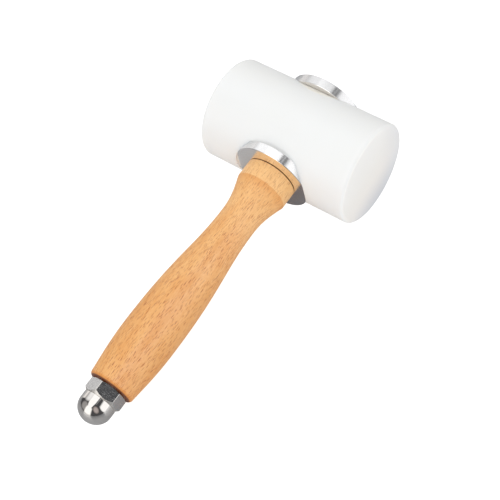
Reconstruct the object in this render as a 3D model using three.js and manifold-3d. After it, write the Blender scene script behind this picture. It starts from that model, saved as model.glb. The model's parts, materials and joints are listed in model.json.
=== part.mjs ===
// Leather carving mallet: a nylon head on a turned beech handle, held by one long tie bolt and a cap nut.
// Millimetres, +Z up. The mallet lies on its side as it does on a bench, on the head and the butt of the handle.
// The tool group has its own axes: X along the head, -Y down the handle, origin where the two axes cross.
import * as THREE from 'three';
import { mergeVertices } from 'three/addons/utils/BufferGeometryUtils.js';
import Module from 'manifold-3d';

// Sizes of the whole mallet
const overall_length = 190;
const head_length = 80.1;
const head_diameter = 49.9;

// Fits shared by the pieces: faces that touch, the bolt in its bores, and the overrun of every cut
const contact_gap = 0.3;
const bolt_clearance = 0.4;
const cut_overrun = 1;

// Nylon head
const head_edge_round = 1.7;
const seat_margin = 0.9;

// Aluminium discs, let into the crown of the head on both sides
const disc_diameter = 39.2;
const disc_thickness = 4.75;
const disc_below_crown = 1.05;
const disc_edge_chamfer = 0.35;

// Beech handle, measured from the end that meets the disc
const collar_diameter = 25.5;
const collar_length = 8.4;
const collar_edge_chamfer = 0.3;
const flare_drop_share = 0.33;
const neck_diameter = 18.05;
const neck_distance = 27.3;
const belly_diameter = 25.9;
const belly_distance = 93.2;
const butt_diameter = 21.75;
const butt_round = 2;
const butt_taper_share = 0.09;

// How far the handle's curves run straight on from each end, as shares of the stretch between two ends
const flare_reach_shares = [0.36, 0.4];
const swell_reach_shares = [0.34, 0.55];
const butt_reach_shares = [0.49, 0.24];

// Tie bolt with a thin round head that sinks into the top disc
const bolt_diameter = 10;
const bolt_head_diameter = 17;
const bolt_head_height = 3;
const bolt_head_proud = 0.5;
const bolt_head_chamfer = 0.4;
const bolt_tip_chamfer = 1;
const bolt_engagement = 11;
const socket_across_flats = 6;
const socket_depth = 3.6;

// Cap nut: a chamfered hexagon with a domed cap
const nut_across_flats = 16;
const nut_height = 17.4;
const hex_height = 6.6;
const washer_face_diameter = 15.8;
const washer_face_angle = 30;
const neck_groove_diameter = 15.4;
const neck_groove_angle = 45;
const dome_inset = 0.04;
const dome_height = 7.35;
const nut_bore_depth = 12;
const drill_point_angle = 118;
const nut_turn = 2.8;

// Facets round each piece, and in each rounded edge
const head_facets = 80;
const disc_facets = 72;
const handle_facets = 48;
const bolt_facets = 40;
const nut_facets = 48;
const round_steps = 4;
const curve_steps = 10;
const dome_steps = 8;
const hexagon_sides = 6;

// Radii and places along the handle's axis that follow from the sizes above
const head_radius = head_diameter / 2;
const disc_radius = disc_diameter / 2;
const bolt_radius = bolt_diameter / 2;
const bore_radius = bolt_radius + bolt_clearance;
const disc_face = head_radius - disc_below_crown;
const seat_face = disc_face - disc_thickness - contact_gap;
const handle_top = disc_face + contact_gap;
const nut_face = overall_length - head_radius - nut_height;
const handle_length = nut_face - contact_gap - handle_top;

const wasm = await Module();
wasm.setup();

// A closed mesh as a solid: shared corners are merged and the slivers at a turned piece's poles dropped
function solidOf(geometry) {
  const bare = new THREE.BufferGeometry();
  bare.setAttribute('position', geometry.getAttribute('position').clone());
  if (geometry.index) bare.setIndex(geometry.index.clone());
  const merged = mergeVertices(bare);
  const corners = merged.index.array;
  const kept = [];
  for (let i = 0; i < corners.length; i += 3) {
    const [a, b, c] = [corners[i], corners[i + 1], corners[i + 2]];
    if (a !== b && b !== c && c !== a) kept.push(a, b, c);
  }
  return new wasm.Manifold(new wasm.Mesh({
    numProp: 3,
    vertProperties: new Float32Array(merged.getAttribute('position').array),
    triVerts: new Uint32Array(kept),
  }));
}

function geometryOf(solid) {
  const mesh = solid.getMesh();
  const geometry = new THREE.BufferGeometry();
  geometry.setAttribute('position', new THREE.BufferAttribute(mesh.vertProperties, 3));
  geometry.setIndex(new THREE.BufferAttribute(mesh.triVerts, 1));
  geometry.computeVertexNormals();
  return geometry;
}

function cut(geometry, cutters) {
  let solid = solidOf(geometry);
  for (const cutter of cutters) solid = solid.subtract(solidOf(cutter));
  return geometryOf(solid);
}

function common(geometry, other) {
  return geometryOf(solidOf(geometry).intersect(solidOf(other)));
}

// A piece turned about the handle's axis, from an outline of [radius, place along the axis]
function turned(outline, facets) {
  return new THREE.LatheGeometry(outline.map(([radius, place]) => new THREE.Vector2(radius, place)), facets);
}

// Points of a quarter round about a centre, from one direction to another
function roundEdge(centre, radius, from, to) {
  const points = [];
  for (let i = 0; i <= round_steps; i += 1) {
    const angle = THREE.MathUtils.lerp(from, to, i / round_steps);
    points.push([centre[0] + radius * Math.cos(angle), centre[1] + radius * Math.sin(angle)]);
  }
  return points;
}

// A round or six-sided bar along the handle's axis, between two places
function bar(radius, from, to, facets) {
  const length = to - from;
  return new THREE.CylinderGeometry(radius, radius, length, facets).translate(0, from + length / 2, 0);
}

function hexagonCornerRadius(across_flats) {
  return across_flats / 2 / Math.cos(Math.PI / hexagon_sides);
}

// Nylon head: a rounded cylinder across the handle, with a flat round seat for each disc and one bore through
function makeHead() {
  const half = head_length / 2;
  const outline = [
    [0, -half],
    ...roundEdge([head_radius - head_edge_round, head_edge_round - half], head_edge_round, -Math.PI / 2, 0),
    ...roundEdge([head_radius - head_edge_round, half - head_edge_round], head_edge_round, 0, Math.PI / 2),
    [0, half],
  ];
  const body = turned(outline, head_facets).rotateZ(-Math.PI / 2);
  const seat_radius = disc_radius + seat_margin;
  const past_crown = head_radius + cut_overrun;
  return cut(body, [
    bar(seat_radius, seat_face, past_crown, disc_facets),
    bar(seat_radius, -past_crown, -seat_face, disc_facets),
    bar(bore_radius, -past_crown, past_crown, bolt_facets),
  ]);
}

// Aluminium disc with its inner face at the origin, bored for the bolt, and sunk for the bolt's head if asked
function makeDisc(sink_radius, sink_depth) {
  const sink_floor = disc_thickness - sink_depth;
  const mouth = sink_depth > 0 ? [[sink_radius, disc_thickness], [sink_radius, sink_floor]] : [];
  return turned([
    [bore_radius, 0],
    [disc_radius - disc_edge_chamfer, 0],
    [disc_radius, disc_edge_chamfer],
    [disc_radius, disc_thickness - disc_edge_chamfer],
    [disc_radius - disc_edge_chamfer, disc_thickness],
    ...mouth,
    [bore_radius, sink_floor],
    [bore_radius, 0],
  ], disc_facets);
}

// One stretch of the handle's outline between two places: each end leaves with its own slope
function handleCurve(start, start_slope, end, end_slope, reach_shares) {
  const run = end[1] - start[1];
  const curve = new THREE.CubicBezierCurve(
    new THREE.Vector2(...start),
    new THREE.Vector2(start[0] + start_slope * run * reach_shares[0], start[1] + run * reach_shares[0]),
    new THREE.Vector2(end[0] - end_slope * run * reach_shares[1], end[1] - run * reach_shares[1]),
    new THREE.Vector2(...end),
  );
  return curve.getPoints(curve_steps).map((point) => [point.x, point.y]);
}

// Outline of the turned beech handle: collar, hollow flare, slim neck, long belly and a rounded butt
function handleOutline() {
  const collar_radius = collar_diameter / 2;
  const butt_radius = butt_diameter / 2;
  const shoulder = [collar_radius, collar_length];
  const neck = [neck_diameter / 2, neck_distance];
  const belly = [belly_diameter / 2, belly_distance];
  const butt = [butt_radius + butt_round * butt_taper_share, handle_length - butt_round];
  const butt_centre = [butt[0] - butt_round, handle_length - butt_round];
  return [
    [collar_radius - collar_edge_chamfer, 0],
    [collar_radius, collar_edge_chamfer],
    ...handleCurve(shoulder, -flare_drop_share, neck, 0, flare_reach_shares),
    ...handleCurve(neck, 0, belly, 0, swell_reach_shares).slice(1),
    ...handleCurve(belly, 0, butt, -butt_taper_share, butt_reach_shares).slice(1, -1),
    ...roundEdge(butt_centre, butt_round, 0, Math.PI / 2),
  ];
}

// The handle is bored from end to end
function makeHandle(outline) {
  return turned([[bore_radius, 0], ...outline, [bore_radius, handle_length], [bore_radius, 0]], handle_facets);
}

// Tie bolt with the underside of its head at the origin and its shank running down the handle
function makeTieBolt(shank_length) {
  const bolt_head_radius = bolt_head_diameter / 2;
  const body = turned([
    [0, -shank_length],
    [bolt_radius - bolt_tip_chamfer, -shank_length],
    [bolt_radius, bolt_tip_chamfer - shank_length],
    [bolt_radius, 0],
    [bolt_head_radius, 0],
    [bolt_head_radius, bolt_head_height - bolt_head_chamfer],
    [bolt_head_radius - bolt_head_chamfer, bolt_head_height],
    [0, bolt_head_height],
  ], bolt_facets);
  const socket_floor = bolt_head_height - socket_depth;
  const socket_radius = hexagonCornerRadius(socket_across_flats);
  return cut(body, [bar(socket_radius, socket_floor, bolt_head_height + cut_overrun, hexagon_sides)]);
}

// Cap nut with its washer face at the origin: a turned outline with two chamfers and a dome, cut to a hexagon
function makeCapNut() {
  const corner_radius = hexagonCornerRadius(nut_across_flats) + cut_overrun;
  const washer_radius = washer_face_diameter / 2;
  const groove_radius = neck_groove_diameter / 2;
  const dome_radius = nut_across_flats / 2 - dome_inset;
  const washer_rise = (corner_radius - washer_radius) * Math.tan(THREE.MathUtils.degToRad(washer_face_angle));
  const groove_rise = (corner_radius - groove_radius) * Math.tan(THREE.MathUtils.degToRad(neck_groove_angle));
  const dome_start = nut_height - dome_height;
  const outline = [
    [0, 0],
    [washer_radius, 0],
    [corner_radius, washer_rise],
    [corner_radius, Math.max(washer_rise, hex_height - groove_rise)],
    [groove_radius, hex_height],
    [dome_radius, hex_height + dome_radius - groove_radius],
  ];
  for (let i = 0; i < dome_steps; i += 1) {
    const angle = Math.PI / 2 * i / dome_steps;
    outline.push([dome_radius * Math.cos(angle), dome_start + dome_height * Math.sin(angle)]);
  }
  outline.push([0, nut_height]);
  const hexagon = bar(hexagonCornerRadius(nut_across_flats), -cut_overrun, nut_height + cut_overrun, hexagon_sides);
  const point_height = bore_radius / Math.tan(THREE.MathUtils.degToRad(drill_point_angle / 2));
  const drilled = turned([
    [0, -cut_overrun],
    [bore_radius, -cut_overrun],
    [bore_radius, nut_bore_depth],
    [0, nut_bore_depth + point_height],
  ], bolt_facets);
  return cut(common(turned(outline, nut_facets), hexagon), [drilled]);
}

const nylon = new THREE.MeshStandardMaterial({ color: 0xf4f5f4, roughness: 0.45, metalness: 0 });
const aluminium = new THREE.MeshStandardMaterial({ color: 0xd9dade, roughness: 0.22, metalness: 1 });
const beech = new THREE.MeshStandardMaterial({ color: 0xd99f61, roughness: 0.5, metalness: 0 });
const steel = new THREE.MeshStandardMaterial({ color: 0x8f8f92, roughness: 0.3, metalness: 1 });
const stainless = new THREE.MeshStandardMaterial({ color: 0xb9b6b2, roughness: 0.15, metalness: 1 });

const tool = new THREE.Group();

function place(name, geometry, material, along_axis) {
  const mesh = new THREE.Mesh(geometry, material);
  mesh.name = name;
  mesh.position.y = along_axis;
  tool.add(mesh);
  return mesh;
}

const handle_outline = handleOutline();
const seated = seat_face + contact_gap;
const sink_depth = bolt_head_height + contact_gap - bolt_head_proud;
const sink_radius = bolt_head_diameter / 2 + bolt_clearance;
const bolt_seat = disc_face - sink_depth + contact_gap;

place('mallet_head', makeHead(), nylon, 0);
place('top_disc', makeDisc(sink_radius, sink_depth), aluminium, seated);
place('handle_disc', makeDisc(0, 0), aluminium, -seated).rotation.x = Math.PI;
place('handle', makeHandle(handle_outline), beech, -handle_top).rotation.x = Math.PI;
place('tie_bolt', makeTieBolt(bolt_seat + nut_face + bolt_engagement), steel, bolt_seat);
const cap_nut = place('cap_nut', makeCapNut(), stainless, -nut_face);
cap_nut.rotation.set(Math.PI, THREE.MathUtils.degToRad(nut_turn), 0);

// Lying on a bench, the head's side touches it and the handle slopes down until its outline touches too
function tiltToTouch([radius, place]) {
  const along = handle_top + place;
  return Math.asin(head_radius / Math.hypot(along, radius)) - Math.atan2(radius, along);
}
tool.rotation.x = Math.min(...handle_outline.map(tiltToTouch));

// The origin is on the bench, under the middle of the mallet's box
tool.updateMatrixWorld(true);
const box = new THREE.Box3().setFromObject(tool, true);
tool.position.set(0, -(box.min.y + box.max.y) / 2, -box.min.z);

const leather_carving_mallet = new THREE.Group();
leather_carving_mallet.add(tool);

export default leather_carving_mallet;
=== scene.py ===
import json
import math

import bmesh
import bpy
from mathutils import Matrix, Vector
from mathutils.geometry import interpolate_bezier


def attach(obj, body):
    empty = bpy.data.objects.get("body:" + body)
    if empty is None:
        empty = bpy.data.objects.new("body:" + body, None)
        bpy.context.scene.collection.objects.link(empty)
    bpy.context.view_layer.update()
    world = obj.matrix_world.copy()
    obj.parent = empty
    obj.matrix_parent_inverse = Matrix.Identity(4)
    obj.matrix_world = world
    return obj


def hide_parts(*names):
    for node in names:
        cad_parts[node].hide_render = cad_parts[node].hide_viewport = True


# Leather carving mallet: nylon head, two aluminium discs, turned beech handle, tie bolt and domed cap nut.
# Pieces are modelled in millimetres on the mallet's own axes (X along the head, Y up the handle towards
# the head, origin where the two cross) and then set down in the frame, in metres.

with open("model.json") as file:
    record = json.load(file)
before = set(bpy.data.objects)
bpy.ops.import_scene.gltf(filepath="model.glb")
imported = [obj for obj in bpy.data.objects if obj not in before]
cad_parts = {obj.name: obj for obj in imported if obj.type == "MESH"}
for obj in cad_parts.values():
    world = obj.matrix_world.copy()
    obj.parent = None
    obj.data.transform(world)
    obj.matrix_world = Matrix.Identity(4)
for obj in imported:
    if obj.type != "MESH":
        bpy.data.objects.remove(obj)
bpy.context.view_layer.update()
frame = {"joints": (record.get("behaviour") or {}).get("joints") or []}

MM = 0.001
FULL_TURN = 2 * math.pi
QUARTER_TURN = math.pi / 2

# Head
head_length = 80.1
head_diameter = 49.9
head_edge_round = 1.7
seat_margin = 0.04
seat_lip_round = 0.35

# Gaps between pieces: round the bolt's head, where pieces seat, and the thin dark line above the collar
contact_gap = 0.3
close_seam = 0.05
collar_seam = 0.15

# Discs
disc_diameter = 39.2
disc_thickness = 4.75
disc_below_crown = 1.05
disc_edge_round = 0.35

# Handle, measured from the end that meets the disc
overall_length = 190.0
collar_diameter = 25.5
collar_length = 8.6
collar_edge_round = 0.28
ridge_round_share = 0.05
ridge_clear_share = 1.2
flare_drop_share = 0.33
neck_diameter = 18.05
neck_distance = 27.5
belly_diameter = 25.9
belly_distance = 93.4
butt_diameter = 21.75
butt_round = 2.0
butt_taper_share = 0.09
ridge_reach_shares = (0.5, 0.5)
flare_reach_shares = (0.36, 0.4)
swell_reach_shares = (0.34, 0.55)
butt_reach_shares = (0.49, 0.24)

# Tie bolt
bolt_diameter = 10.0
bolt_clearance = 0.4
bolt_head_diameter = 17.0
bolt_head_height = 3.0
bolt_head_proud = 0.5
bolt_head_round = 0.4
bolt_tip_chamfer = 1.0
bolt_engagement = 11.0
socket_across_flats = 6.0
socket_depth = 3.6
socket_mouth_chamfer = 0.35
thread_pitch = 1.5
thread_depth = 0.85
thread_crest_share = 0.125
thread_rooted = 0.1
thread_turns = 24

# Cap nut
nut_across_flats = 16.0
nut_height = 17.4
hex_height = 6.6
washer_face_diameter = 15.8
washer_face_angle = math.radians(30)
neck_groove_diameter = 15.4
neck_groove_angle = math.radians(45)
dome_inset = 0.04
dome_height = 7.35
dome_foot_inset = 0.08
dome_foot_rise = 0.18
dome_side_rise = 0.34
nut_bore_depth = 12.0
nut_mouth_chamfer = 0.5
drill_point_angle = math.radians(118)
nut_turn = math.radians(2.8)
nut_corner_break = 0.10
nut_blank_margin = 0.5

# A smaller face round the nut is a broken corner, in square millimetres
least_flat_area = 8.0

# Steps round the turned pieces and in their rounded edges
HEAD_STEPS = 176
DISC_STEPS = 176
HANDLE_STEPS = 128
BOLT_STEPS = 72
NUT_STEPS = 144
THREAD_STEPS = 40
CURVE_POINTS = 26
RIDGE_STEPS = 5
HEAD_EDGE_STEPS = 8
BUTT_EDGE_STEPS = 8
SMALL_EDGE_STEPS = 3
SEAT_LIP_STEPS = 4
DOME_STEPS = 20
HEX_SIDES = 6

# Points closer than these are merged. A cutter stands past the piece that it cuts
MERGE_REACH = 0.0005
CUT_MERGE_REACH = 0.01
past_crown = 2.0
past_bolt_head = 1.0

# Edges stay sharp above these angles
sharp_above = math.radians(28)
nut_sharp_above = math.radians(34)
seat_rim_above = math.radians(40)

# A face is a disc's rim, or one of the nut's flats, when it looks along the handle by no more than this share
rim_lean = 0.3
nut_flat_lean = 0.05

# Places along the handle's axis that follow from the sizes
head_radius = head_diameter / 2
disc_radius = disc_diameter / 2
bolt_radius = bolt_diameter / 2
bore_radius = bolt_radius + bolt_clearance
disc_face = head_radius - disc_below_crown
disc_seated = disc_face - disc_thickness
seat_face = disc_seated - close_seam
handle_top = disc_face + collar_seam
nut_face = overall_length - head_radius - nut_height
handle_length = nut_face - close_seam - handle_top
sink_depth = bolt_head_height + contact_gap - bolt_head_proud
sink_radius = bolt_head_diameter / 2 + bolt_clearance
bolt_seat = disc_face - sink_depth + contact_gap
ridge_place = -handle_top - collar_length

# The mallet's own axes in the frame, from the bolt's hinge
bolt_hinge = next(joint for joint in frame["joints"] if joint["name"] == "tie_bolt_turn")
crossing = Vector(bolt_hinge["pos_m"])
handle_axis = Vector(bolt_hinge["axis"])
handle_slope = math.atan2(handle_axis.z, handle_axis.y)
mallet_place = Matrix.Translation(crossing) @ Matrix.Rotation(handle_slope, 4, "X") @ Matrix.Scale(MM, 4)


# Camera at the photograph's place: it looks down along the head and the handle from the nut's side
aim_point = Vector((11.61, 11.02, 15.0)) * MM
camera_distance = 553.7 * MM
camera_azimuth = math.radians(44.54)
camera_elevation = math.radians(55.43)
camera_roll = math.radians(-10.58)
camera_lens = 87.8
camera_sensor = 36.0
camera_clip = (0.01, 20.0)


def make_camera():
    """The photograph's camera, rolled to match it."""
    data = bpy.data.cameras.new("camera")
    data.lens = camera_lens
    data.sensor_width = camera_sensor
    data.clip_start, data.clip_end = camera_clip
    camera = bpy.data.objects.new("camera", data)
    bpy.context.scene.collection.objects.link(camera)
    away = Vector((
        math.sin(camera_azimuth) * math.cos(camera_elevation),
        -math.cos(camera_azimuth) * math.cos(camera_elevation),
        math.sin(camera_elevation),
    ))
    upright = (-away).to_track_quat("-Z", "Y").to_matrix().to_4x4()
    rolled = upright @ Matrix.Rotation(camera_roll, 4, "Z")
    camera.matrix_world = Matrix.Translation(aim_point + away * camera_distance) @ rolled
    bpy.context.scene.camera = camera


def link_mesh(name, bm):
    """A new object from bm, which is used up."""
    mesh = bpy.data.meshes.new(name)
    bm.to_mesh(mesh)
    bm.free()
    piece = bpy.data.objects.new(name, mesh)
    bpy.context.scene.collection.objects.link(piece)
    return piece


# Studio floor, in metres, with its colours and glow. In metal it shows greyer, with a shade below the handle
floor_size = 4.0
floor_cells = 4
floor_roughness = 0.22
floor_white = (0.42, 0.42, 0.42, 1.0)
floor_glow = 0.57
floor_glow_shown = 0.85
floor_in_metal = (0.425, 0.43, 0.44, 1.0)
handle_shade = (0.165, 0.195, 0.24, 1.0)
shade_place = (0.005, 0.034)
shade_reach = (0.010, 0.034)

# The room has soft white windows of light round the mallet, and is white to the camera. It is darker in the
# metal than as the fill on matt surfaces, as a photographer's dark cards would keep it
room_white = (1.0, 1.0, 1.0, 1.0)
room_in_metal = (0.085, 0.085, 0.09, 1.0)

# The fill: its colours facing away from its centre and at it, how it spreads, and its share of the windows
fill_away = (0.66, 0.65, 0.635, 1.0)
fill_ahead = (1.14, 1.155, 1.17, 1.0)
fill_centre = (0.08, -0.40, 0.91)
fill_spread = (-0.3, 1.0)
fill_share = (0.62, 0.62, 0.62, 1.0)

# Each soft light: the direction it is seen in from the mallet, its half width and half height at unit
# distance, how its width narrows upwards, the width of its faded edge, its brightness and its tint
soft_windows = {
    "overhead": ((-0.15, -0.27, 1.0), (0.33, 0.93), 0.70, 0.08, 1.42, (1.0, 1.0, 1.0)),
    "sliver": ((0.37, 0.34, 0.87), (0.04, 0.30), 0.0, 0.06, 0.70, (1.0, 1.0, 1.0)),
    "front": ((-0.19, -1.0, 0.50), (0.37, 0.50), 0.0, 0.24, 1.5, (1.0, 0.99, 0.97)),
    "back": ((0.1, 1.0, 0.6), (0.9, 0.45), 0.0, 0.30, 0.7, (1.0, 1.0, 1.0)),
    "left_wall": ((-0.95, 0.36, 0.08), (0.30, 0.30), 0.0, 0.15, 1.05, (1.0, 0.97, 0.95)),
}
soft_rounds = {
    "right": ((0.81, 0.50, 0.29), (0.68, 0.68), 0.0, 0.28, 1.4, (1.0, 1.0, 1.0)),
    "left": ((-0.66, 0.40, 0.75), (0.50, 0.50), 0.0, 0.50, 1.2, (1.0, 1.0, 1.0)),
    "warm_card": ((0.60, -0.50, 0.66), (0.30, 0.42), 0.0, 0.30, 0.55, (1.0, 0.88, 0.85)),
    "grey_card": ((-0.68, -0.62, 0.5), (0.46, 0.46), 0.0, 0.40, 0.42, (1.0, 0.97, 0.95)),
}

# A light shows on its own side alone. One that is nearly overhead keeps its width along the head
own_side = (0.05, 0.1)
nearly_overhead = 0.8
least_ahead = 0.001
least_width = 0.01


class Nodes:
    """Short calls that add nodes to a tree and link them."""

    def __init__(self, tree):
        self.tree = tree

    def feed(self, socket, value):
        if isinstance(value, bpy.types.NodeSocket):
            self.tree.links.new(value, socket)
        else:
            socket.default_value = value

    def node(self, kind, settings=(), **sockets):
        made = self.tree.nodes.new(kind)
        for name, value in dict(settings).items():
            setattr(made, name, value)
        for name, value in sockets.items():
            self.feed(made.inputs[name.replace("_", " ")], value)
        return made

    def math(self, operation, first, second=0.0, third=0.0):
        made = self.node("ShaderNodeMath", {"operation": operation})
        for socket, value in zip(made.inputs, (first, second, third)):
            self.feed(socket, value)
        return made.outputs[0]

    def dot(self, first, second):
        made = self.node("ShaderNodeVectorMath", {"operation": "DOT_PRODUCT"})
        self.feed(made.inputs[0], first)
        self.feed(made.inputs[1], second)
        return made.outputs["Value"]

    def between(self, value, low, high, to_low=0.0, to_high=1.0):
        """Value from low..high carried smoothly over to to_low..to_high."""
        made = self.node("ShaderNodeMapRange", {"interpolation_type": "SMOOTHSTEP"}, Value=value)
        limits = {"From Min": low, "From Max": high, "To Min": to_low, "To Max": to_high}
        for name, limit in limits.items():
            self.feed(made.inputs[name], limit)
        return made.outputs["Result"]

    def seen_in_metal(self):
        """1 for what the camera sees mirrored, 0 for light that comes by way of a matt surface."""
        path = self.node("ShaderNodeLightPath").outputs
        off_no_matt = self.math("LESS_THAN", path["Diffuse Depth"], 0.5)
        return self.math("MULTIPLY", path["Is Glossy Ray"], off_no_matt)

    def mix(self, share, first, second, blend="MIX"):
        made = self.node("ShaderNodeMix", {"data_type": "RGBA", "blend_type": blend})
        for name, value in (("Factor_Float", share), ("A_Color", first), ("B_Color", second)):
            self.feed(next(s for s in made.inputs if s.identifier == name), value)
        return next(s for s in made.outputs if s.identifier == "Result_Color")


def make_floor():
    """A pale floor that glows as a lit table does. Metal mirrors it greyer, and dark below the handle."""
    bm = bmesh.new()
    bmesh.ops.create_grid(bm, x_segments=floor_cells, y_segments=floor_cells, size=floor_size / 2)
    floor = link_mesh("floor", bm)
    material = bpy.data.materials.new("pale_floor")
    material.use_nodes = True
    nodes = Nodes(material.node_tree)
    in_metal = nodes.seen_in_metal()
    shader = nodes.tree.nodes["Principled BSDF"]
    on_floor = nodes.node("ShaderNodeTexCoord").outputs["Object"]
    places = nodes.node("ShaderNodeSeparateXYZ", Vector=on_floor).outputs
    across = nodes.math("SUBTRACT", places["X"], shade_place[0])
    along = nodes.math("SUBTRACT", places["Y"], shade_place[1])
    squares = nodes.math("MULTIPLY", across, across)
    away = nodes.math("SQRT", nodes.math("MULTIPLY_ADD", along, along, squares))
    mirrored = nodes.mix(nodes.between(away, *shade_reach), handle_shade, floor_in_metal)
    nodes.feed(shader.inputs["Base Color"], nodes.mix(in_metal, floor_white, mirrored))
    shown = nodes.node("ShaderNodeLightPath").outputs["Is Camera Ray"]
    glow = nodes.math("MULTIPLY_ADD", shown, floor_glow_shown - floor_glow, floor_glow)
    glow = nodes.math("MULTIPLY_ADD", in_metal, -floor_glow, glow)
    nodes.feed(shader.inputs["Emission Strength"], glow)
    shader.inputs["Emission Color"].default_value = room_white
    shader.inputs["Roughness"].default_value = floor_roughness
    floor.data.materials.append(material)


def soft_light(nodes, look, is_round, centre, half_size, narrowing, fade, brightness, tint):
    """One soft light as a colour over all directions, black outside it."""
    forward = Vector(centre).normalized()
    if abs(forward.z) > nearly_overhead:
        side = Vector((1.0, 0.0, 0.0))
    else:
        side = forward.cross(Vector((0.0, 0.0, 1.0)))
    up = side.cross(forward).normalized()
    side = forward.cross(up)
    ahead = nodes.math("MAXIMUM", nodes.dot(look, tuple(forward)), least_ahead)
    across, along = (nodes.math("DIVIDE", nodes.dot(look, tuple(way)), ahead) for way in (side, up))
    half_width = nodes.math("MULTIPLY_ADD", along, -narrowing * half_size[0], half_size[0])
    across = nodes.math("DIVIDE", across, nodes.math("MAXIMUM", half_width, least_width))
    along = nodes.math("DIVIDE", along, half_size[1])
    if is_round:
        squares = nodes.math("MULTIPLY", across, across)
        reaches = [nodes.math("SQRT", nodes.math("MULTIPLY_ADD", along, along, squares))]
    else:
        reaches = [nodes.math("ABSOLUTE", across), nodes.math("ABSOLUTE", along)]
    soft_edge = fade / min(half_size) / 2
    shape = nodes.between(ahead, *own_side, 0.0, brightness)
    for reach in reaches:
        inside = nodes.between(reach, 1.0 - soft_edge, 1.0 + soft_edge, 1.0, 0.0)
        shape = nodes.math("MULTIPLY", shape, inside)
    return nodes.mix(1.0, shape, tint + (1.0,), "MULTIPLY")


def make_studio():
    """The floor and the room's light, painted by direction."""
    make_floor()
    world = bpy.data.worlds.new("studio")
    world.use_nodes = True
    nodes = Nodes(world.node_tree)
    look = nodes.node("ShaderNodeTexCoord").outputs["Generated"]
    lights = room_in_metal
    for group, is_round in ((soft_windows, False), (soft_rounds, True)):
        for place_and_look in group.values():
            light = soft_light(nodes, look, is_round, *place_and_look)
            lights = nodes.mix(1.0, lights, light, "LIGHTEN")
    towards = nodes.dot(look, tuple(Vector(fill_centre).normalized()))
    walls = nodes.mix(nodes.between(towards, *fill_spread), fill_away, fill_ahead)
    fill = nodes.mix(1.0, nodes.mix(1.0, lights, fill_share, "MULTIPLY"), walls, "LIGHTEN")
    light = nodes.mix(nodes.seen_in_metal(), fill, lights)
    light = nodes.mix(nodes.node("ShaderNodeLightPath").outputs["Is Camera Ray"], light, room_white)
    nodes.feed(world.node_tree.nodes["Background"].inputs["Color"], light)
    bpy.context.scene.world = world
    bpy.context.scene.view_settings.view_transform = "Standard"


class Finish(Nodes):
    """A material with one shader, and calls for the patterns that feed it."""

    def __init__(self, name):
        self.material = bpy.data.materials.new(name)
        self.material.use_nodes = True
        self.shader = self.material.node_tree.nodes["Principled BSDF"]
        super().__init__(self.material.node_tree)

    def set(self, socket, value):
        self.feed(self.shader.inputs[socket], value)

    def along_mallet(self):
        """Millimetres on the mallet's own axes."""
        places = self.node("ShaderNodeTexCoord").outputs["Object"]
        mapping = self.node("ShaderNodeMapping", {"vector_type": "TEXTURE"}, Vector=places)
        mapping.inputs["Location"].default_value = crossing
        mapping.inputs["Rotation"].default_value = (handle_slope, 0, 0)
        mapping.inputs["Scale"].default_value = (MM, MM, MM)
        return mapping.outputs["Vector"]

    def stretched(self, places, scale, offset=(0, 0, 0)):
        mapping = self.node("ShaderNodeMapping", Vector=places)
        mapping.inputs["Location"].default_value = offset
        mapping.inputs["Scale"].default_value = scale
        return mapping.outputs["Vector"]

    def noise(self, places, detail=2.0, roughness=0.5):
        made = self.node("ShaderNodeTexNoise", Vector=places, Scale=1.0, Detail=detail, Roughness=roughness)
        return made.outputs["Fac"]

    def bump(self, height, distance, under=None):
        made = self.node("ShaderNodeBump", Height=height, Strength=1.0, Distance=distance * MM)
        if under is not None:
            self.tree.links.new(under, made.inputs["Normal"])
        return made.outputs["Normal"]

    def from_axis(self, places, first, second):
        """Distance of a place from the axis that the two named coordinates leave out."""
        parts = self.node("ShaderNodeSeparateXYZ", Vector=places).outputs
        squares = self.math("MULTIPLY", parts[second], parts[second])
        return self.math("SQRT", self.math("MULTIPLY_ADD", parts[first], parts[first], squares))


# Most of a noise lies between these two values
noise_middle = (0.3, 0.7)

# Nylon colours. A striking face runs from a warm white down to a bluish foot: painted light at its top,
# painted shade at its foot and on its far side
nylon_warm = (0.890, 0.885, 0.862, 1.0)
nylon_cool = (0.890, 0.897, 0.893, 1.0)
face_middle = (0.935, 0.897, 0.855, 1.0)
face_painted_light_top = (0.990, 0.968, 0.930, 1.0)
face_painted_shade_foot = (0.670, 0.680, 0.720, 1.0)
face_painted_shade_far_side = (0.800, 0.815, 0.840, 1.0)
# Painted warm shade on the nylon close round the top disc
nylon_painted_shade_by_top_disc = (0.970, 0.890, 0.780, 1.0)
# Painted light, lighter and cooler, on the nylon of the seat by the handle, where it lies in shade
nylon_painted_light_in_seat = (0.940, 0.970, 0.980, 1.0)

# Where those colours begin and are full, in millimetres: from the head's end, over its face, from a disc's
# edge, down into the seat by the handle, and along that seat's left wall. The tilt leans the face's painted
# grading of light and shade
face_margins = (0.6, 0.05)
face_tilt = -0.2
top_rise = (-8.0, 24.0)
foot_rise = (-27.0, -3.0)
far_side_reach = (4.0, 26.0)
far_side_share = 0.7
round_top_disc = (-0.2, 0.15)
top_disc_side = (0.0, 10.0)
top_disc_shade_share = 0.65
round_seat = (0.15, 0.40)
seat_depth = 0.4
left_wall_reach = (0.4, 1.0)

# Nylon patterns and shine. Light goes deepest under the skin of the seat's left wall
nylon_cloud_scale = (0.035, 0.05, 0.05)
nylon_line_scale = (3.5, 3.5, 1.0)
nylon_line_depth = 0.008
nylon_grain_scale = (2.2, 2.2, 2.2)
nylon_grain_depth = 0.006
nylon_wear_scale = (0.22, 0.22, 0.22)
nylon_roughness = (0.30, 0.38)
nylon_shine = 0.55
under_skin_share = 0.35
under_skin_left_wall = 0.65
under_skin_radius = (1.0, 0.97, 0.92)
under_skin_depth = 3.0

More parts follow.
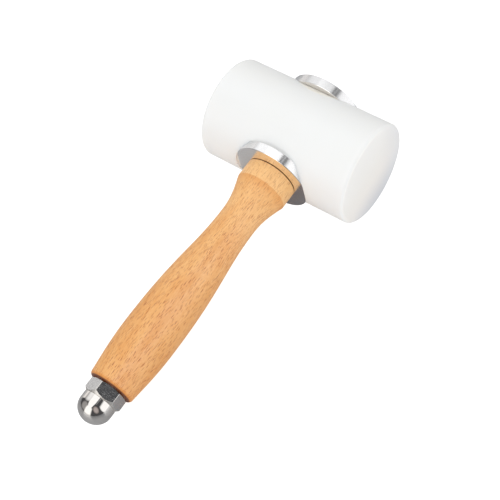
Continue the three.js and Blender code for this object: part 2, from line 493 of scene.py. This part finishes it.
# Beech colours
beech_orange = (0.850, 0.425, 0.135, 1.0)
beech_light = (0.910, 0.500, 0.195, 1.0)
beech_painted_sheen_pink = (0.890, 0.480, 0.235, 1.0)
beech_pale_and_painted_light = (1.000, 0.625, 0.280, 1.0)
beech_shaded = (0.640, 0.270, 0.075, 1.0)
beech_deep = (0.740, 0.280, 0.050, 1.0)
# Darker end grain, with the nut's contact shadow painted on it
end_grain_and_painted_shadow = (0.150, 0.035, 0.008, 1.0)
beech_under_nut = (0.430, 0.170, 0.050, 1.0)
beech_pore = (0.330, 0.030, 0.001, 1.0)

# Where they change, in millimetres: first across the handle, then along it from where it crosses the head
# Across the handle: painted light over its middle, painted shade on its right side
painted_light_side = (-6.0, 10.0)
painted_light_shares = (0.15, 0.85)
shaded_side = (11.0, 18.0)
shaded_share = 0.50
# A painted sheen: a pinker band along the handle
sheen_band_begins = (5.5, 9.5)
sheen_band_ends = (11.5, 16.5)
sheen_band_share = 0.75
# Along the handle the wood grows paler towards the collar, and painted light there lifts the head's shade
pale_belly = (-107.0, -82.0)
pale_belly_shares = (0.09, 0.33)
pale_neck = (-72.0, -30.0)
pale_neck_share = 0.84
cloudy_from = -70.0
cloudy_shares = (0.40, 0.15)
collar_reach = 12.0
# Painted shade in the hollow just below the ridge
hollow_shade_reach = 5.0
hollow_shade_share = 0.36
ridge_line = 0.3
round_nut = (-0.1, 0.5)

# Where the wood turns to end grain, as the share that its face looks along the handle. The end grain is
# darker, and its darkest colour round the nut is also a painted contact shadow
end_begins = (0.10, 0.6)
end_share = 0.8
end_full = (0.6, 0.95)
end_flat = (0.9, 1.0)
end_without_strokes = (0.5, 0.8)

# Beech patterns: the scale of each noise, the values between which it shows, and how strongly it shows, on
# the belly and what the collar adds
sway_scale = (0.06, 0.015, 0.06)
sway_reach = 8.0
pith_depth = 46.0
ring_scale = (0.7, 0.006, 1.0)
ring_values = (0.36, 0.64)
ring_shares = (0.15, 0.30)
cloud_scale = (0.3, 0.05, 0.3)
cloud_shift = (7.0, 3.0, 1.0)
cloud_values = (0.35, 0.75)
fibre_scale = (2.2, 0.11, 1.0)
fibre_values = (0.42, 0.72)
fibre_shares = (0.22, 0.26)
fleck_scale = (2.6, 0.9, 1.0)
fleck_shift = (3.0, 8.0, 0.0)
fleck_values = (0.46, 0.70)
fleck_share = 0.30
stroke_shares = (0.70, 0.30)

# Pore strokes in three sizes: width and length of a stroke's cell in millimetres, shift, half a stroke's
# size as a share of its cell, share of the cells that hold one, and darkness
beech_strokes = (
    ((0.58, 11.5), 0.0, 0.14, 0.65, 1.00),
    ((0.50, 8.0), 5.3, 0.15, 0.65, 1.00),
    ((0.42, 5.2), 11.9, 0.17, 0.60, 0.95),
)
stroke_core = 0.7
stroke_fade = 0.4

# Beech shine and relief
fibre_relief = 0.4
beech_relief_depth = 0.0005
beech_roughness = (0.40, 0.50)
beech_shine = 0.4
coat_weight = 0.12
coat_roughness = 0.3

# Turned aluminium: colour, roughness, and how far the tool lines draw its shine out
faced_look = ((0.97, 0.965, 0.96), 0.20, 0.3)
# The top rim is a darker copy of the handle rim's aluminium: painted shade
top_rim_shaded_look = ((0.74, 0.74, 0.745), 0.23, 0.90)
handle_rim_look = ((0.88, 0.88, 0.885), 0.23, 0.90)
turning_scale = (3.0, 3.0, 1.0)
turning_depth = 0.004
haze_scale = (0.25, 0.25, 0.25)
haze_colour = 0.97
haze_roughness = (0.93, 1.07)
across_tool_lines = 0.25

# Steel: colour, roughness, depth and scale of its grain, how dark its stains are, and how dull its scratches
bolt_look = ((0.56, 0.57, 0.58), 0.25, 0.004, 3.0, 0.2)
nut_flats_look = ((0.73, 0.73, 0.73), 0.14, 0.004, 4.0, 0.25, 0.17)
nut_dome_look = ((0.74, 0.715, 0.69), 0.07, 0.002, 0.7, 0.08)
# The chamfers: a rougher turned finish, and a lighter, warmer copy of the steel that paints their bright edge
# lines as a highlight
nut_chamfer_highlight_look = ((0.86, 0.83, 0.79), 0.34, 0.004, 2.0, 0.12)
stain_scale = (0.6, 0.6, 0.6)
stain_roughness = (0.8, 1.25)
scratch_scale = (0.5, 2.6, 0.5)
scratch_values = (0.50, 0.72)


def nylon_finish():
    """Satin white nylon: faint clouding, turning lines, striking faces graded with painted light and shade,
    painted warm shade by the top disc and painted light in the seat by the handle.
    """
    finish = Finish("white_nylon")
    places = finish.along_mallet()
    clouds = finish.noise(finish.stretched(places, nylon_cloud_scale), detail=3.0)
    colour = finish.mix(clouds, nylon_warm, nylon_cool)
    parts = finish.node("ShaderNodeSeparateXYZ", Vector=places).outputs
    from_middle = finish.math("ABSOLUTE", parts["X"])
    face_begins, face_full = (head_length / 2 - margin for margin in face_margins)
    near_end = finish.between(from_middle, face_begins, face_full)
    # Painted light and shade on each striking face: lighter towards its top, darker towards its foot and its
    # far side
    level = finish.math("MULTIPLY_ADD", parts["Y"], face_tilt, parts["Z"])
    end_face = finish.mix(finish.between(level, *top_rise), face_middle, face_painted_light_top)
    end_face = finish.mix(finish.between(level, *foot_rise, 1.0, 0.0), end_face, face_painted_shade_foot)
    far_side = finish.between(parts["Y"], *far_side_reach, 0.0, far_side_share)
    end_face = finish.mix(far_side, end_face, face_painted_shade_far_side)
    colour = finish.mix(near_end, colour, end_face)
    from_handle = finish.from_axis(places, "X", "Z")
    # Painted warm shade on the nylon close round the top disc's edge
    by_disc_begins, by_disc_ends = (disc_radius + margin for margin in round_top_disc)
    near_disc = finish.between(from_handle, by_disc_begins, by_disc_ends, 1.0, 0.0)
    by_top_disc = finish.between(parts["Y"], *top_disc_side, 0.0, top_disc_shade_share)
    by_top_disc = finish.math("MULTIPLY", near_disc, by_top_disc)
    colour = finish.mix(by_top_disc, colour, nylon_painted_shade_by_top_disc)
    # Painted light in the seat wall by the handle, which lies in shade
    seat_begins, seat_ends = (disc_radius + margin for margin in round_seat)
    in_seat = finish.between(from_handle, seat_begins, seat_ends, 1.0, 0.0)
    by_handle = finish.between(parts["Y"], -disc_seated - seat_depth, -disc_seated, 1.0, 0.0)
    by_handle = finish.math("MULTIPLY", in_seat, by_handle)
    finish.set("Base Color", finish.mix(by_handle, colour, nylon_painted_light_in_seat))
    from_axis = finish.from_axis(places, "Y", "Z")
    tool_path = finish.node("ShaderNodeCombineXYZ", X=parts["X"], Y=from_axis).outputs["Vector"]
    lines = finish.noise(finish.stretched(tool_path, nylon_line_scale), detail=3.0, roughness=0.6)
    grain = finish.noise(finish.stretched(places, nylon_grain_scale))
    finish.set("Normal", finish.bump(grain, nylon_grain_depth, finish.bump(lines, nylon_line_depth)))
    wear = finish.noise(finish.stretched(places, nylon_wear_scale), detail=4.0)
    finish.set("Roughness", finish.between(wear, *noise_middle, *nylon_roughness))
    wall_begins, wall_ends = (margin - disc_radius for margin in left_wall_reach)
    left_wall = finish.between(parts["X"], wall_begins, wall_ends, 1.0, 0.0)
    left_wall = finish.math("MULTIPLY", by_handle, left_wall)
    under_skin = finish.math("MULTIPLY_ADD", left_wall, under_skin_left_wall, under_skin_share)
    finish.set("Subsurface Weight", under_skin)
    finish.set("Subsurface Radius", under_skin_radius)
    finish.set("Subsurface Scale", under_skin_depth * MM)
    finish.set("Specular IOR Level", nylon_shine)
    return finish.material


def pore_strokes(finish, unrolled):
    """Short dark strokes along the grain, 0 to 1, with the darkest of the three sizes at each place."""
    strokes = None
    for cell, shift, reach, chance, darkness in beech_strokes:
        laid = finish.stretched(unrolled, (1.0 / cell[0], 1.0 / cell[1], 1.0), (shift, shift, 0.0))
        flat = {"voronoi_dimensions": "2D"}
        cells = finish.node("ShaderNodeTexVoronoi", flat, Vector=laid, Scale=1.0).outputs
        stroke = finish.between(cells["Distance"], reach * stroke_core, reach, darkness, 0.0)
        draw = finish.node("ShaderNodeSeparateColor", Color=cells["Color"]).outputs["Red"]
        drawn = finish.between(draw, 1.0 - chance, 1.0 + stroke_fade - chance)
        stroke = finish.math("MULTIPLY", stroke, drawn)
        strokes = stroke if strokes is None else finish.math("MAXIMUM", strokes, stroke)
    return strokes


def beech_finish():
    """Clear coated steamed beech: soft growth rings, fine fibres, dark pore strokes and paler wood towards
    the collar, with painted light and shade: a pink sheen band, a lit and a shaded side, light on the collar,
    shade below the ridge and round the nut.
    """
    finish = Finish("clear_coated_beech")
    places = finish.along_mallet()
    parts = finish.node("ShaderNodeSeparateXYZ", Vector=places).outputs
    facing = finish.node("ShaderNodeTexCoord").outputs["Normal"]
    end_grain = finish.math("ABSOLUTE", finish.dot(facing, tuple(handle_axis)))
    towards_collar = finish.between(parts["Y"], ridge_place - collar_reach, ridge_place, 1.0, 0.0)

    def stronger_at_collar(shares):
        return finish.math("MULTIPLY_ADD", towards_collar, shares[1], shares[0])

    sway = finish.noise(finish.stretched(places, sway_scale))
    across = finish.math("ADD", parts["X"], finish.math("MULTIPLY", sway, sway_reach))
    deep = finish.math("ADD", parts["Z"], pith_depth)
    squares = finish.math("MULTIPLY", deep, deep)
    from_pith = finish.math("SQRT", finish.math("MULTIPLY_ADD", across, across, squares))
    ring_place = finish.node("ShaderNodeCombineXYZ", X=from_pith, Y=parts["Y"]).outputs["Vector"]
    rings = finish.noise(finish.stretched(ring_place, ring_scale), detail=3.0, roughness=0.55)
    cloud = finish.noise(finish.stretched(places, cloud_scale, cloud_shift), detail=3.0)
    turn = finish.math("ARCTAN2", parts["X"], parts["Z"])
    round_handle = finish.math("MULTIPLY", turn, belly_diameter / 2)
    unrolled = finish.node("ShaderNodeCombineXYZ", X=round_handle, Y=parts["Y"]).outputs["Vector"]
    fibres = finish.noise(finish.stretched(unrolled, fibre_scale), detail=3.0, roughness=0.75)
    flecks = finish.noise(finish.stretched(unrolled, fleck_scale, fleck_shift), detail=1.0)

    # Painted light over the middle of the handle, painted shade on its right side
    wood = finish.mix(finish.between(across, *painted_light_side, *painted_light_shares), beech_orange, beech_light)
    wood = finish.mix(finish.between(across, *shaded_side, 0.0, shaded_share), wood, beech_shaded)
    ringed = finish.between(rings, *ring_values)
    ringed = finish.math("MULTIPLY", stronger_at_collar(ring_shares), ringed)
    wood = finish.mix(ringed, wood, beech_light)
    # Painted sheen: a pinker band along the handle
    band = finish.between(across, *sheen_band_ends, 1.0, 0.0)
    band = finish.math("MULTIPLY", finish.between(across, *sheen_band_begins), band)
    wood = finish.mix(finish.math("MULTIPLY", band, sheen_band_share), wood, beech_painted_sheen_pink)
    # Paler wood towards the collar, with painted light that lifts the head's shade
    wood = finish.mix(finish.between(parts["Y"], *pale_belly, *pale_belly_shares), wood, beech_pale_and_painted_light)
    wood = finish.mix(finish.between(parts["Y"], *pale_neck, 0.0, pale_neck_share), wood, beech_pale_and_painted_light)
    cloudy = finish.between(parts["Y"], cloudy_from, ridge_place, *cloudy_shares)
    cloudy = finish.math("MULTIPLY", cloudy, finish.between(cloud, *cloud_values))
    wood = finish.mix(cloudy, wood, beech_deep)
    fibred = finish.between(fibres, *fibre_values)
    fibred = finish.math("MULTIPLY", stronger_at_collar(fibre_shares), fibred)
    wood = finish.mix(fibred, wood, beech_deep)
    wood = finish.mix(finish.between(flecks, *fleck_values, 0.0, fleck_share), wood, beech_deep)

    # Painted shade in the hollow just below the ridge
    below_ridge = finish.between(parts["Y"], ridge_place - ridge_line, ridge_place, 1.0, 0.0)
    hollow = finish.between(parts["Y"], ridge_place - hollow_shade_reach, ridge_place, 0.0, hollow_shade_share)
    wood = finish.mix(finish.math("MULTIPLY", hollow, below_ridge), wood, beech_deep)
    wood = finish.mix(finish.between(end_grain, *end_begins, 0.0, end_share), wood, beech_deep)
    # Darker end grain, with the nut's contact shadow painted on it
    wood = finish.mix(finish.between(end_grain, *end_full), wood, end_grain_and_painted_shadow)
    from_axis = finish.from_axis(places, "X", "Z")
    nut_begins, nut_ends = (nut_across_flats / 2 + margin for margin in round_nut)
    under_nut = finish.between(from_axis, nut_begins, nut_ends, 1.0, 0.0)
    under_nut = finish.math("MULTIPLY", under_nut, finish.between(end_grain, *end_flat))
    wood = finish.mix(under_nut, wood, beech_under_nut)

    on_side = finish.between(end_grain, *end_without_strokes, 1.0, 0.0)
    strokes = finish.math("MULTIPLY", pore_strokes(finish, unrolled), on_side)
    strokes = finish.math("MULTIPLY", strokes, stronger_at_collar(stroke_shares))
    finish.set("Base Color", finish.mix(strokes, wood, beech_pore))
    raised = finish.math("MULTIPLY", fibres, fibre_relief)
    relief = finish.math("MULTIPLY_ADD", strokes, -1.0, raised)
    finish.set("Normal", finish.bump(relief, beech_relief_depth))
    finish.set("Roughness", finish.between(fibres, *noise_middle, *beech_roughness))
    finish.set("Specular IOR Level", beech_shine)
    finish.set("Coat Weight", coat_weight)
    finish.set("Coat Roughness", coat_roughness)
    return finish.material


def aluminium_finish(name, colour, roughness, anisotropy):
    """Bright turned aluminium: tool lines run round the axis and draw its shine out across them."""
    finish = Finish(name)
    places = finish.along_mallet()
    parts = finish.node("ShaderNodeSeparateXYZ", Vector=places).outputs
    from_axis = finish.from_axis(places, "X", "Z")
    tool_path = finish.node("ShaderNodeCombineXYZ", X=from_axis, Y=parts["Y"]).outputs["Vector"]
    lines = finish.noise(finish.stretched(tool_path, turning_scale), detail=3.0, roughness=0.7)
    finish.set("Normal", finish.bump(lines, turning_depth))
    haze = finish.noise(finish.stretched(places, haze_scale), detail=3.0)
    darker = tuple(part * haze_colour for part in colour) + (1.0,)
    finish.set("Base Color", finish.mix(haze, darker, colour + (1.0,)))
    duller = (roughness * share for share in haze_roughness)
    finish.set("Roughness", finish.between(haze, *noise_middle, *duller))
    finish.set("Metallic", 1.0)
    finish.set("Anisotropic", anisotropy)
    finish.set("Anisotropic Rotation", across_tool_lines)
    round_axis = {"direction_type": "RADIAL", "axis": "Y"}
    finish.set("Tangent", finish.node("ShaderNodeTangent", round_axis).outputs["Tangent"])
    return finish.material


def steel_finish(name, colour, roughness, grain_depth, grain_scale, stained, scratched=0.0):
    """Bare steel with a fine grain, a slight unevenness in its shine, and dull scratches if it has them."""
    finish = Finish(name)
    places = finish.along_mallet()
    grain = finish.noise(finish.stretched(places, (grain_scale,) * 3), detail=3.0, roughness=0.6)
    finish.set("Normal", finish.bump(grain, grain_depth))
    stain = finish.noise(finish.stretched(places, stain_scale), detail=3.0)
    darker = tuple(part * (1.0 - stained) for part in colour) + (1.0,)
    finish.set("Base Color", finish.mix(stain, darker, colour + (1.0,)))
    uneven = (roughness * share for share in stain_roughness)
    shine = finish.between(stain, *noise_middle, *uneven)
    scratches = finish.noise(finish.stretched(places, scratch_scale), roughness=0.7)
    dulled = finish.between(scratches, *scratch_values, 0.0, scratched)
    finish.set("Roughness", finish.math("ADD", shine, dulled))
    finish.set("Metallic", 1.0)
    return finish.material


def edge_round(centre, radius, start, end, steps=SMALL_EDGE_STEPS):
    """Outline points round a centre, from one direction to another."""
    points = []
    for i in range(steps + 1):
        angle = start + (end - start) * i / steps
        points.append((centre[0] + radius * math.cos(angle), centre[1] + radius * math.sin(angle)))
    return points


def turn_on_axis(outline, steps, closed=False):
    """A solid turned about the handle's axis from an outline of (radius, place along the axis)."""
    bm = bmesh.new()
    line = [bm.verts.new((radius, place, 0.0)) for radius, place in outline]
    edges = [bm.edges.new(pair) for pair in zip(line, line[1:])]
    if closed:
        edges.append(bm.edges.new((line[-1], line[0])))
    bmesh.ops.spin(
        bm, geom=line + edges, cent=(0, 0, 0), axis=(0, 1, 0), dvec=(0, 0, 0),
        angle=FULL_TURN, steps=steps, use_merge=True, use_normal_flip=False, use_duplicate=False,
    )
    bmesh.ops.remove_doubles(bm, verts=bm.verts, dist=MERGE_REACH)
    bmesh.ops.dissolve_degenerate(bm, edges=bm.edges, dist=MERGE_REACH)
    bmesh.ops.recalc_face_normals(bm, faces=bm.faces)
    return bm


def cut_away(bm, cutters):
    """The solid in bm less the cutters' solids."""
    body = link_mesh("body_to_cut", bm)
    tools = [link_mesh("cutter", cutter) for cutter in cutters]
    for tool in tools:
        step = body.modifiers.new("cut", "BOOLEAN")
        step.operation = "DIFFERENCE"
        step.solver = "EXACT"
        step.object = tool
    bpy.context.view_layer.update()
    shown = body.evaluated_get(bpy.context.evaluated_depsgraph_get())
    result = bmesh.new()
    result.from_mesh(shown.to_mesh())
    shown.to_mesh_clear()
    for piece in [body] + tools:
        mesh = piece.data
        bpy.data.objects.remove(piece)
        bpy.data.meshes.remove(mesh)
    return result


def set_down(name, bm, materials, body, node, sharp_angle=sharp_above):
    """Finish a piece: smooth shaded, in the frame, riding its body in place of its plain solid."""
    bmesh.ops.transform(bm, matrix=mallet_place, verts=bm.verts)
    piece = link_mesh(name, bm)
    piece.data.shade_smooth()
    piece.data.set_sharp_from_angle(angle=sharp_angle)
    shading = piece.modifiers.new("flats_stay_flat", "WEIGHTED_NORMAL")
    shading.keep_sharp = True
    for material in materials:
        piece.data.materials.append(material)
    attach(piece, body)
    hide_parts(node)


def plug(radius, start, end, steps):
    """A cutter on the handle's axis, round or with few sides, from one place along it to another."""
    return turn_on_axis([(0.0, start), (radius, start), (radius, end), (0.0, end)], steps)


def make_head(nylon):
    """The nylon cylinder with rounded striking edges, a seat for each disc, and the bolt's bore."""
    half = head_length / 2
    edge = head_radius - head_edge_round
    outline = [(0.0, -half)]
    for centre, start in ((head_edge_round - half, -QUARTER_TURN), (half - head_edge_round, 0.0)):
        outline += edge_round((edge, centre), head_edge_round, start, start + QUARTER_TURN, HEAD_EDGE_STEPS)
    outline += [(0.0, half)]
    bm = turn_on_axis(outline, HEAD_STEPS)
    along_head = Matrix.Rotation(-QUARTER_TURN, 3, "Z")
    bmesh.ops.rotate(bm, verts=bm.verts, cent=(0, 0, 0), matrix=along_head)
    seat_radius = disc_radius + seat_margin
    outside = head_radius + past_crown
    seats = [plug(seat_radius, side * seat_face, side * outside, DISC_STEPS) for side in (1, -1)]
    bore = plug(bore_radius, -outside, outside, BOLT_STEPS)
    bm = cut_away(bm, seats + [bore])
    bmesh.ops.remove_doubles(bm, verts=bm.verts, dist=CUT_MERGE_REACH)

    def on_seat_rim(edge):
        middle = (edge.verts[0].co + edge.verts[1].co) / 2
        from_rim = abs(math.hypot(middle.x, middle.z) - seat_radius)
        above_floor = abs(middle.y) - seat_face
        is_sharp = len(edge.link_faces) == 2 and edge.calc_face_angle() > seat_rim_above
        return is_sharp and above_floor > seat_lip_round and from_rim < seat_lip_round

    bmesh.ops.bevel(
        bm, geom=[e for e in bm.edges if on_seat_rim(e)], offset=seat_lip_round, offset_type="OFFSET",
        affect="EDGES", segments=SEAT_LIP_STEPS, profile=0.5, material=-1, clamp_overlap=True,
        loop_slide=True,
    )
    set_down("nylon_head", bm, [nylon], "mallet", "mallet_head")


def disc_outline(sunk):
    """A disc's ring section from its inner face outwards, with the sink for the bolt's head if wanted."""
    edge = disc_radius - disc_edge_round
    low_edge = disc_edge_round
    high_edge = disc_thickness - disc_edge_round
    outline = [(bore_radius, 0.0)]
    outline += edge_round((edge, low_edge), disc_edge_round, -QUARTER_TURN, 0.0)
    outline += edge_round((edge, high_edge), disc_edge_round, 0.0, QUARTER_TURN)
    if sunk:
        floor = disc_thickness - sink_depth
        lip = disc_edge_round / 2
        outline += [(sink_radius + lip, disc_thickness), (sink_radius, disc_thickness - lip)]
        outline += [(sink_radius, floor), (bore_radius, floor)]
    else:
        outline += [(bore_radius, disc_thickness)]
    return outline


def make_disc(name, node, side, sunk, faced, rim):
    """One aluminium disc on the side of the head that is given: 1 for the top, -1 for the handle's."""
    outline = [(radius, side * (disc_seated + place)) for radius, place in disc_outline(sunk)]
    bm = turn_on_axis(outline, DISC_STEPS, closed=True)
    for face in bm.faces:
        face.material_index = 1 if abs(face.normal.y) < rim_lean else 0
    set_down(name, bm, [faced, rim], "mallet", node)


def handle_curve(start, start_slope, end, end_slope, reach_shares):
    """One stretch of the handle's outline: each end leaves with its own slope."""
    run = end[1] - start[1]
    leave = (start[0] + start_slope * run * reach_shares[0], start[1] + run * reach_shares[0])
    arrive = (end[0] - end_slope * run * reach_shares[1], end[1] - run * reach_shares[1])
    knots = [Vector((radius, place, 0.0)) for radius, place in (start, leave, arrive, end)]
    return [(point.x, point.y) for point in interpolate_bezier(*knots, CURVE_POINTS)]


def handle_outline():
    """The handle's section from its collar to its butt, as distances from the end at the disc."""
    collar_radius = collar_diameter / 2
    neck = (neck_diameter / 2, neck_distance)
    belly = (belly_diameter / 2, belly_distance)
    butt = (butt_diameter / 2 + butt_round * butt_taper_share, handle_length - butt_round)
    collar_edge = (collar_radius - collar_edge_round, collar_edge_round)
    ridge = (collar_radius, collar_length)
    flare = handle_curve(ridge, -flare_drop_share, neck, 0.0, flare_reach_shares)
    ridge_run = collar_length * ridge_round_share
    ridge_start = (collar_radius, collar_length - ridge_run)
    ridge_end = (collar_radius - flare_drop_share * ridge_run, collar_length + ridge_run)
    soft_ridge = handle_curve(ridge_start, 0.0, ridge_end, -flare_drop_share, ridge_reach_shares)
    past_ridge = collar_length + ridge_run * ridge_clear_share
    outline = [(bore_radius, 0.0)]
    outline += edge_round(collar_edge, collar_edge_round, -QUARTER_TURN, 0.0)
    outline += soft_ridge[:: len(soft_ridge) // RIDGE_STEPS]
    outline += [point for point in flare if point[1] > past_ridge]
    outline += handle_curve(neck, 0.0, belly, 0.0, swell_reach_shares)[1:]
    outline += handle_curve(belly, 0.0, butt, -butt_taper_share, butt_reach_shares)[1:-1]
    butt_edge = (butt[0] - butt_round, butt[1])
    outline += edge_round(butt_edge, butt_round, 0.0, QUARTER_TURN, BUTT_EDGE_STEPS)
    outline += [(bore_radius, handle_length)]
    return outline


def make_handle(beech):
    """The turned handle, bored from end to end."""
    outline = [(radius, -handle_top - place) for radius, place in handle_outline()]
    bm = turn_on_axis(outline, HANDLE_STEPS, closed=True)
    set_down("beech_handle", bm, [beech], "mallet", "handle")


def hexagon_corner(across_flats):
    """Distance of a hexagon's corner from its middle."""
    return across_flats / 2 / math.cos(math.pi / HEX_SIDES)


def make_bolt_shank(steel, tip, core_radius):
    """The bolt without its thread: a thin round head with a key socket, and a plain shank."""
    thread_top = tip + thread_pitch * thread_turns
    head_edge = bolt_head_diameter / 2 - bolt_head_round
    top = bolt_seat + bolt_head_height
    outline = [
        (0.0, tip),
        (core_radius - bolt_tip_chamfer / 2, tip),
        (core_radius, tip + bolt_tip_chamfer / 2),
        (core_radius, thread_top),
        (bolt_radius, thread_top + thread_depth),
        (bolt_radius, bolt_seat),
    ]
    for place, start in ((bolt_seat + bolt_head_round, -QUARTER_TURN), (top - bolt_head_round, 0.0)):
        outline += edge_round((head_edge, place), bolt_head_round, start, start + QUARTER_TURN)
    outline += [(0.0, top)]
    socket_radius = hexagon_corner(socket_across_flats)
    outside = top + past_bolt_head
    socket = plug(socket_radius, top - socket_depth, outside, HEX_SIDES)
    mouth_radius = socket_radius + socket_mouth_chamfer
    mouth_cone = [(0.0, top - mouth_radius), (mouth_radius + past_bolt_head, outside), (0.0, outside)]
    mouth = turn_on_axis(mouth_cone, BOLT_STEPS)
    bm = cut_away(turn_on_axis(outline, BOLT_STEPS), [socket, mouth])
    set_down("tie_bolt_shank", bm, [steel], "tie_bolt", "tie_bolt")


def make_bolt_thread(steel, tip, core_radius):
    """One ridge wound round the bolt's end, right-handed."""
    crest = thread_pitch * thread_crest_share / 2
    root = thread_pitch * (1 - thread_crest_share) / 2
    start = tip + root
    section = [
        (core_radius - thread_rooted, start - root),
        (bolt_radius, start - crest),
        (bolt_radius, start + crest),
        (core_radius - thread_rooted, start + root),
    ]
    bm = bmesh.new()
    corners = [bm.verts.new((radius, place, 0.0)) for radius, place in section]
    loop = [bm.edges.new(pair) for pair in zip(corners, corners[1:] + corners[:1])]
    turns = thread_turns - 1
    steps = turns * THREAD_STEPS
    bmesh.ops.spin(
        bm, geom=corners + loop, cent=(0, 0, 0), axis=(0, 1, 0), dvec=(0, thread_pitch * turns / steps, 0),
        angle=-FULL_TURN * turns, steps=steps, use_merge=False, use_normal_flip=False,
        use_duplicate=False,
    )
    bmesh.ops.holes_fill(bm, edges=[e for e in bm.edges if e.is_boundary], sides=0)
    bmesh.ops.recalc_face_normals(bm, faces=bm.faces)
    set_down("tie_bolt_thread", bm, [steel], "tie_bolt", "tie_bolt")


def make_tie_bolt(steel):
    """The long bolt in two pieces: the shank with its head, and the thread that the nut runs on."""
    tip = -nut_face - bolt_engagement
    core_radius = bolt_radius - thread_depth
    make_bolt_shank(steel, tip, core_radius)
    make_bolt_thread(steel, tip, core_radius)


def nut_outline():
    """The cap nut's section, turned: its drilled bore, two chamfers, a groove and the dome."""
    corner_radius = hexagon_corner(nut_across_flats) + nut_blank_margin
    washer_radius = washer_face_diameter / 2
    groove_radius = neck_groove_diameter / 2
    dome_radius = nut_across_flats / 2 - dome_inset
    washer_rise = (corner_radius - washer_radius) * math.tan(washer_face_angle)
    groove_rise = (corner_radius - groove_radius) * math.tan(neck_groove_angle)
    dome_start = nut_height - dome_height
    point_height = bore_radius / math.tan(drill_point_angle / 2)
    outline = [
        (0.0, nut_bore_depth + point_height),
        (bore_radius, nut_bore_depth),
        (bore_radius, nut_mouth_chamfer),
        (bore_radius + nut_mouth_chamfer, 0.0),
        (washer_radius, 0.0),
        (corner_radius, washer_rise),
        (corner_radius, hex_height - groove_rise),
        (groove_radius, hex_height),
        (dome_radius - dome_foot_inset, hex_height + dome_foot_rise),
        (dome_radius, hex_height + dome_side_rise),
    ]
    for i in range(DOME_STEPS):
        angle = QUARTER_TURN * i / DOME_STEPS
        outline.append((dome_radius * math.cos(angle), dome_start + dome_height * math.sin(angle)))
    outline.append((0.0, nut_height))
    return outline


def make_cap_nut(finishes):
    """The cap nut, cut to six flats. Finishes: flats, dome with the broken corners, and chamfers."""
    bm = turn_on_axis([(radius, -nut_face - place) for radius, place in nut_outline()], NUT_STEPS)
    half_flats = nut_across_flats / 2
    half_corners = hexagon_corner(nut_across_flats) - nut_corner_break
    for side in range(HEX_SIDES * 2):
        angle = nut_turn + FULL_TURN * (side + 1) / HEX_SIDES / 2
        outward = Vector((-math.sin(angle), 0.0, math.cos(angle)))
        reach = half_corners if side % 2 else half_flats
        cut = bmesh.ops.bisect_plane(
            bm, geom=bm.verts[:] + bm.edges[:] + bm.faces[:], plane_co=outward * reach,
            plane_no=outward, clear_outer=True, clear_inner=False,
        )["geom_cut"]
        rim = [e for e in cut if isinstance(e, bmesh.types.BMEdge)]
        bmesh.ops.holes_fill(bm, edges=rim, sides=0)
    bmesh.ops.recalc_face_normals(bm, faces=bm.faces)
    for face in bm.faces:
        middle = face.calc_center_median()
        on_hexagon = middle.y > -nut_face - hex_height
        if on_hexagon and abs(face.normal.y) > nut_flat_lean:
            face.material_index = 2
        elif on_hexagon and face.calc_area() > least_flat_area:
            face.material_index = 0
        else:
            face.material_index = 1
    set_down("domed_cap_nut", bm, finishes, "cap_nut", "cap_nut", nut_sharp_above)


make_camera()
make_studio()
nylon = nylon_finish()
make_head(nylon)
faced_aluminium = aluminium_finish("faced_aluminium", *faced_look)
# The top rim's aluminium is a darker copy: painted shade
top_rim_shaded_aluminium = aluminium_finish("top_rim_shaded_aluminium", *top_rim_shaded_look)
handle_rim_aluminium = aluminium_finish("handle_rim_aluminium", *handle_rim_look)
make_disc("top_disc_turned", "top_disc", 1, True, faced_aluminium, top_rim_shaded_aluminium)
make_disc("handle_disc_turned", "handle_disc", -1, False, faced_aluminium, handle_rim_aluminium)
make_handle(beech_finish())
make_tie_bolt(steel_finish("plated_bolt_steel", *bolt_look))
make_cap_nut([
    steel_finish("satin_stainless", *nut_flats_look),
    steel_finish("polished_stainless", *nut_dome_look),
    # The chamfers' steel is a lighter copy: a painted highlight
    steel_finish("soft_stainless_painted_highlight", *nut_chamfer_highlight_look),
])
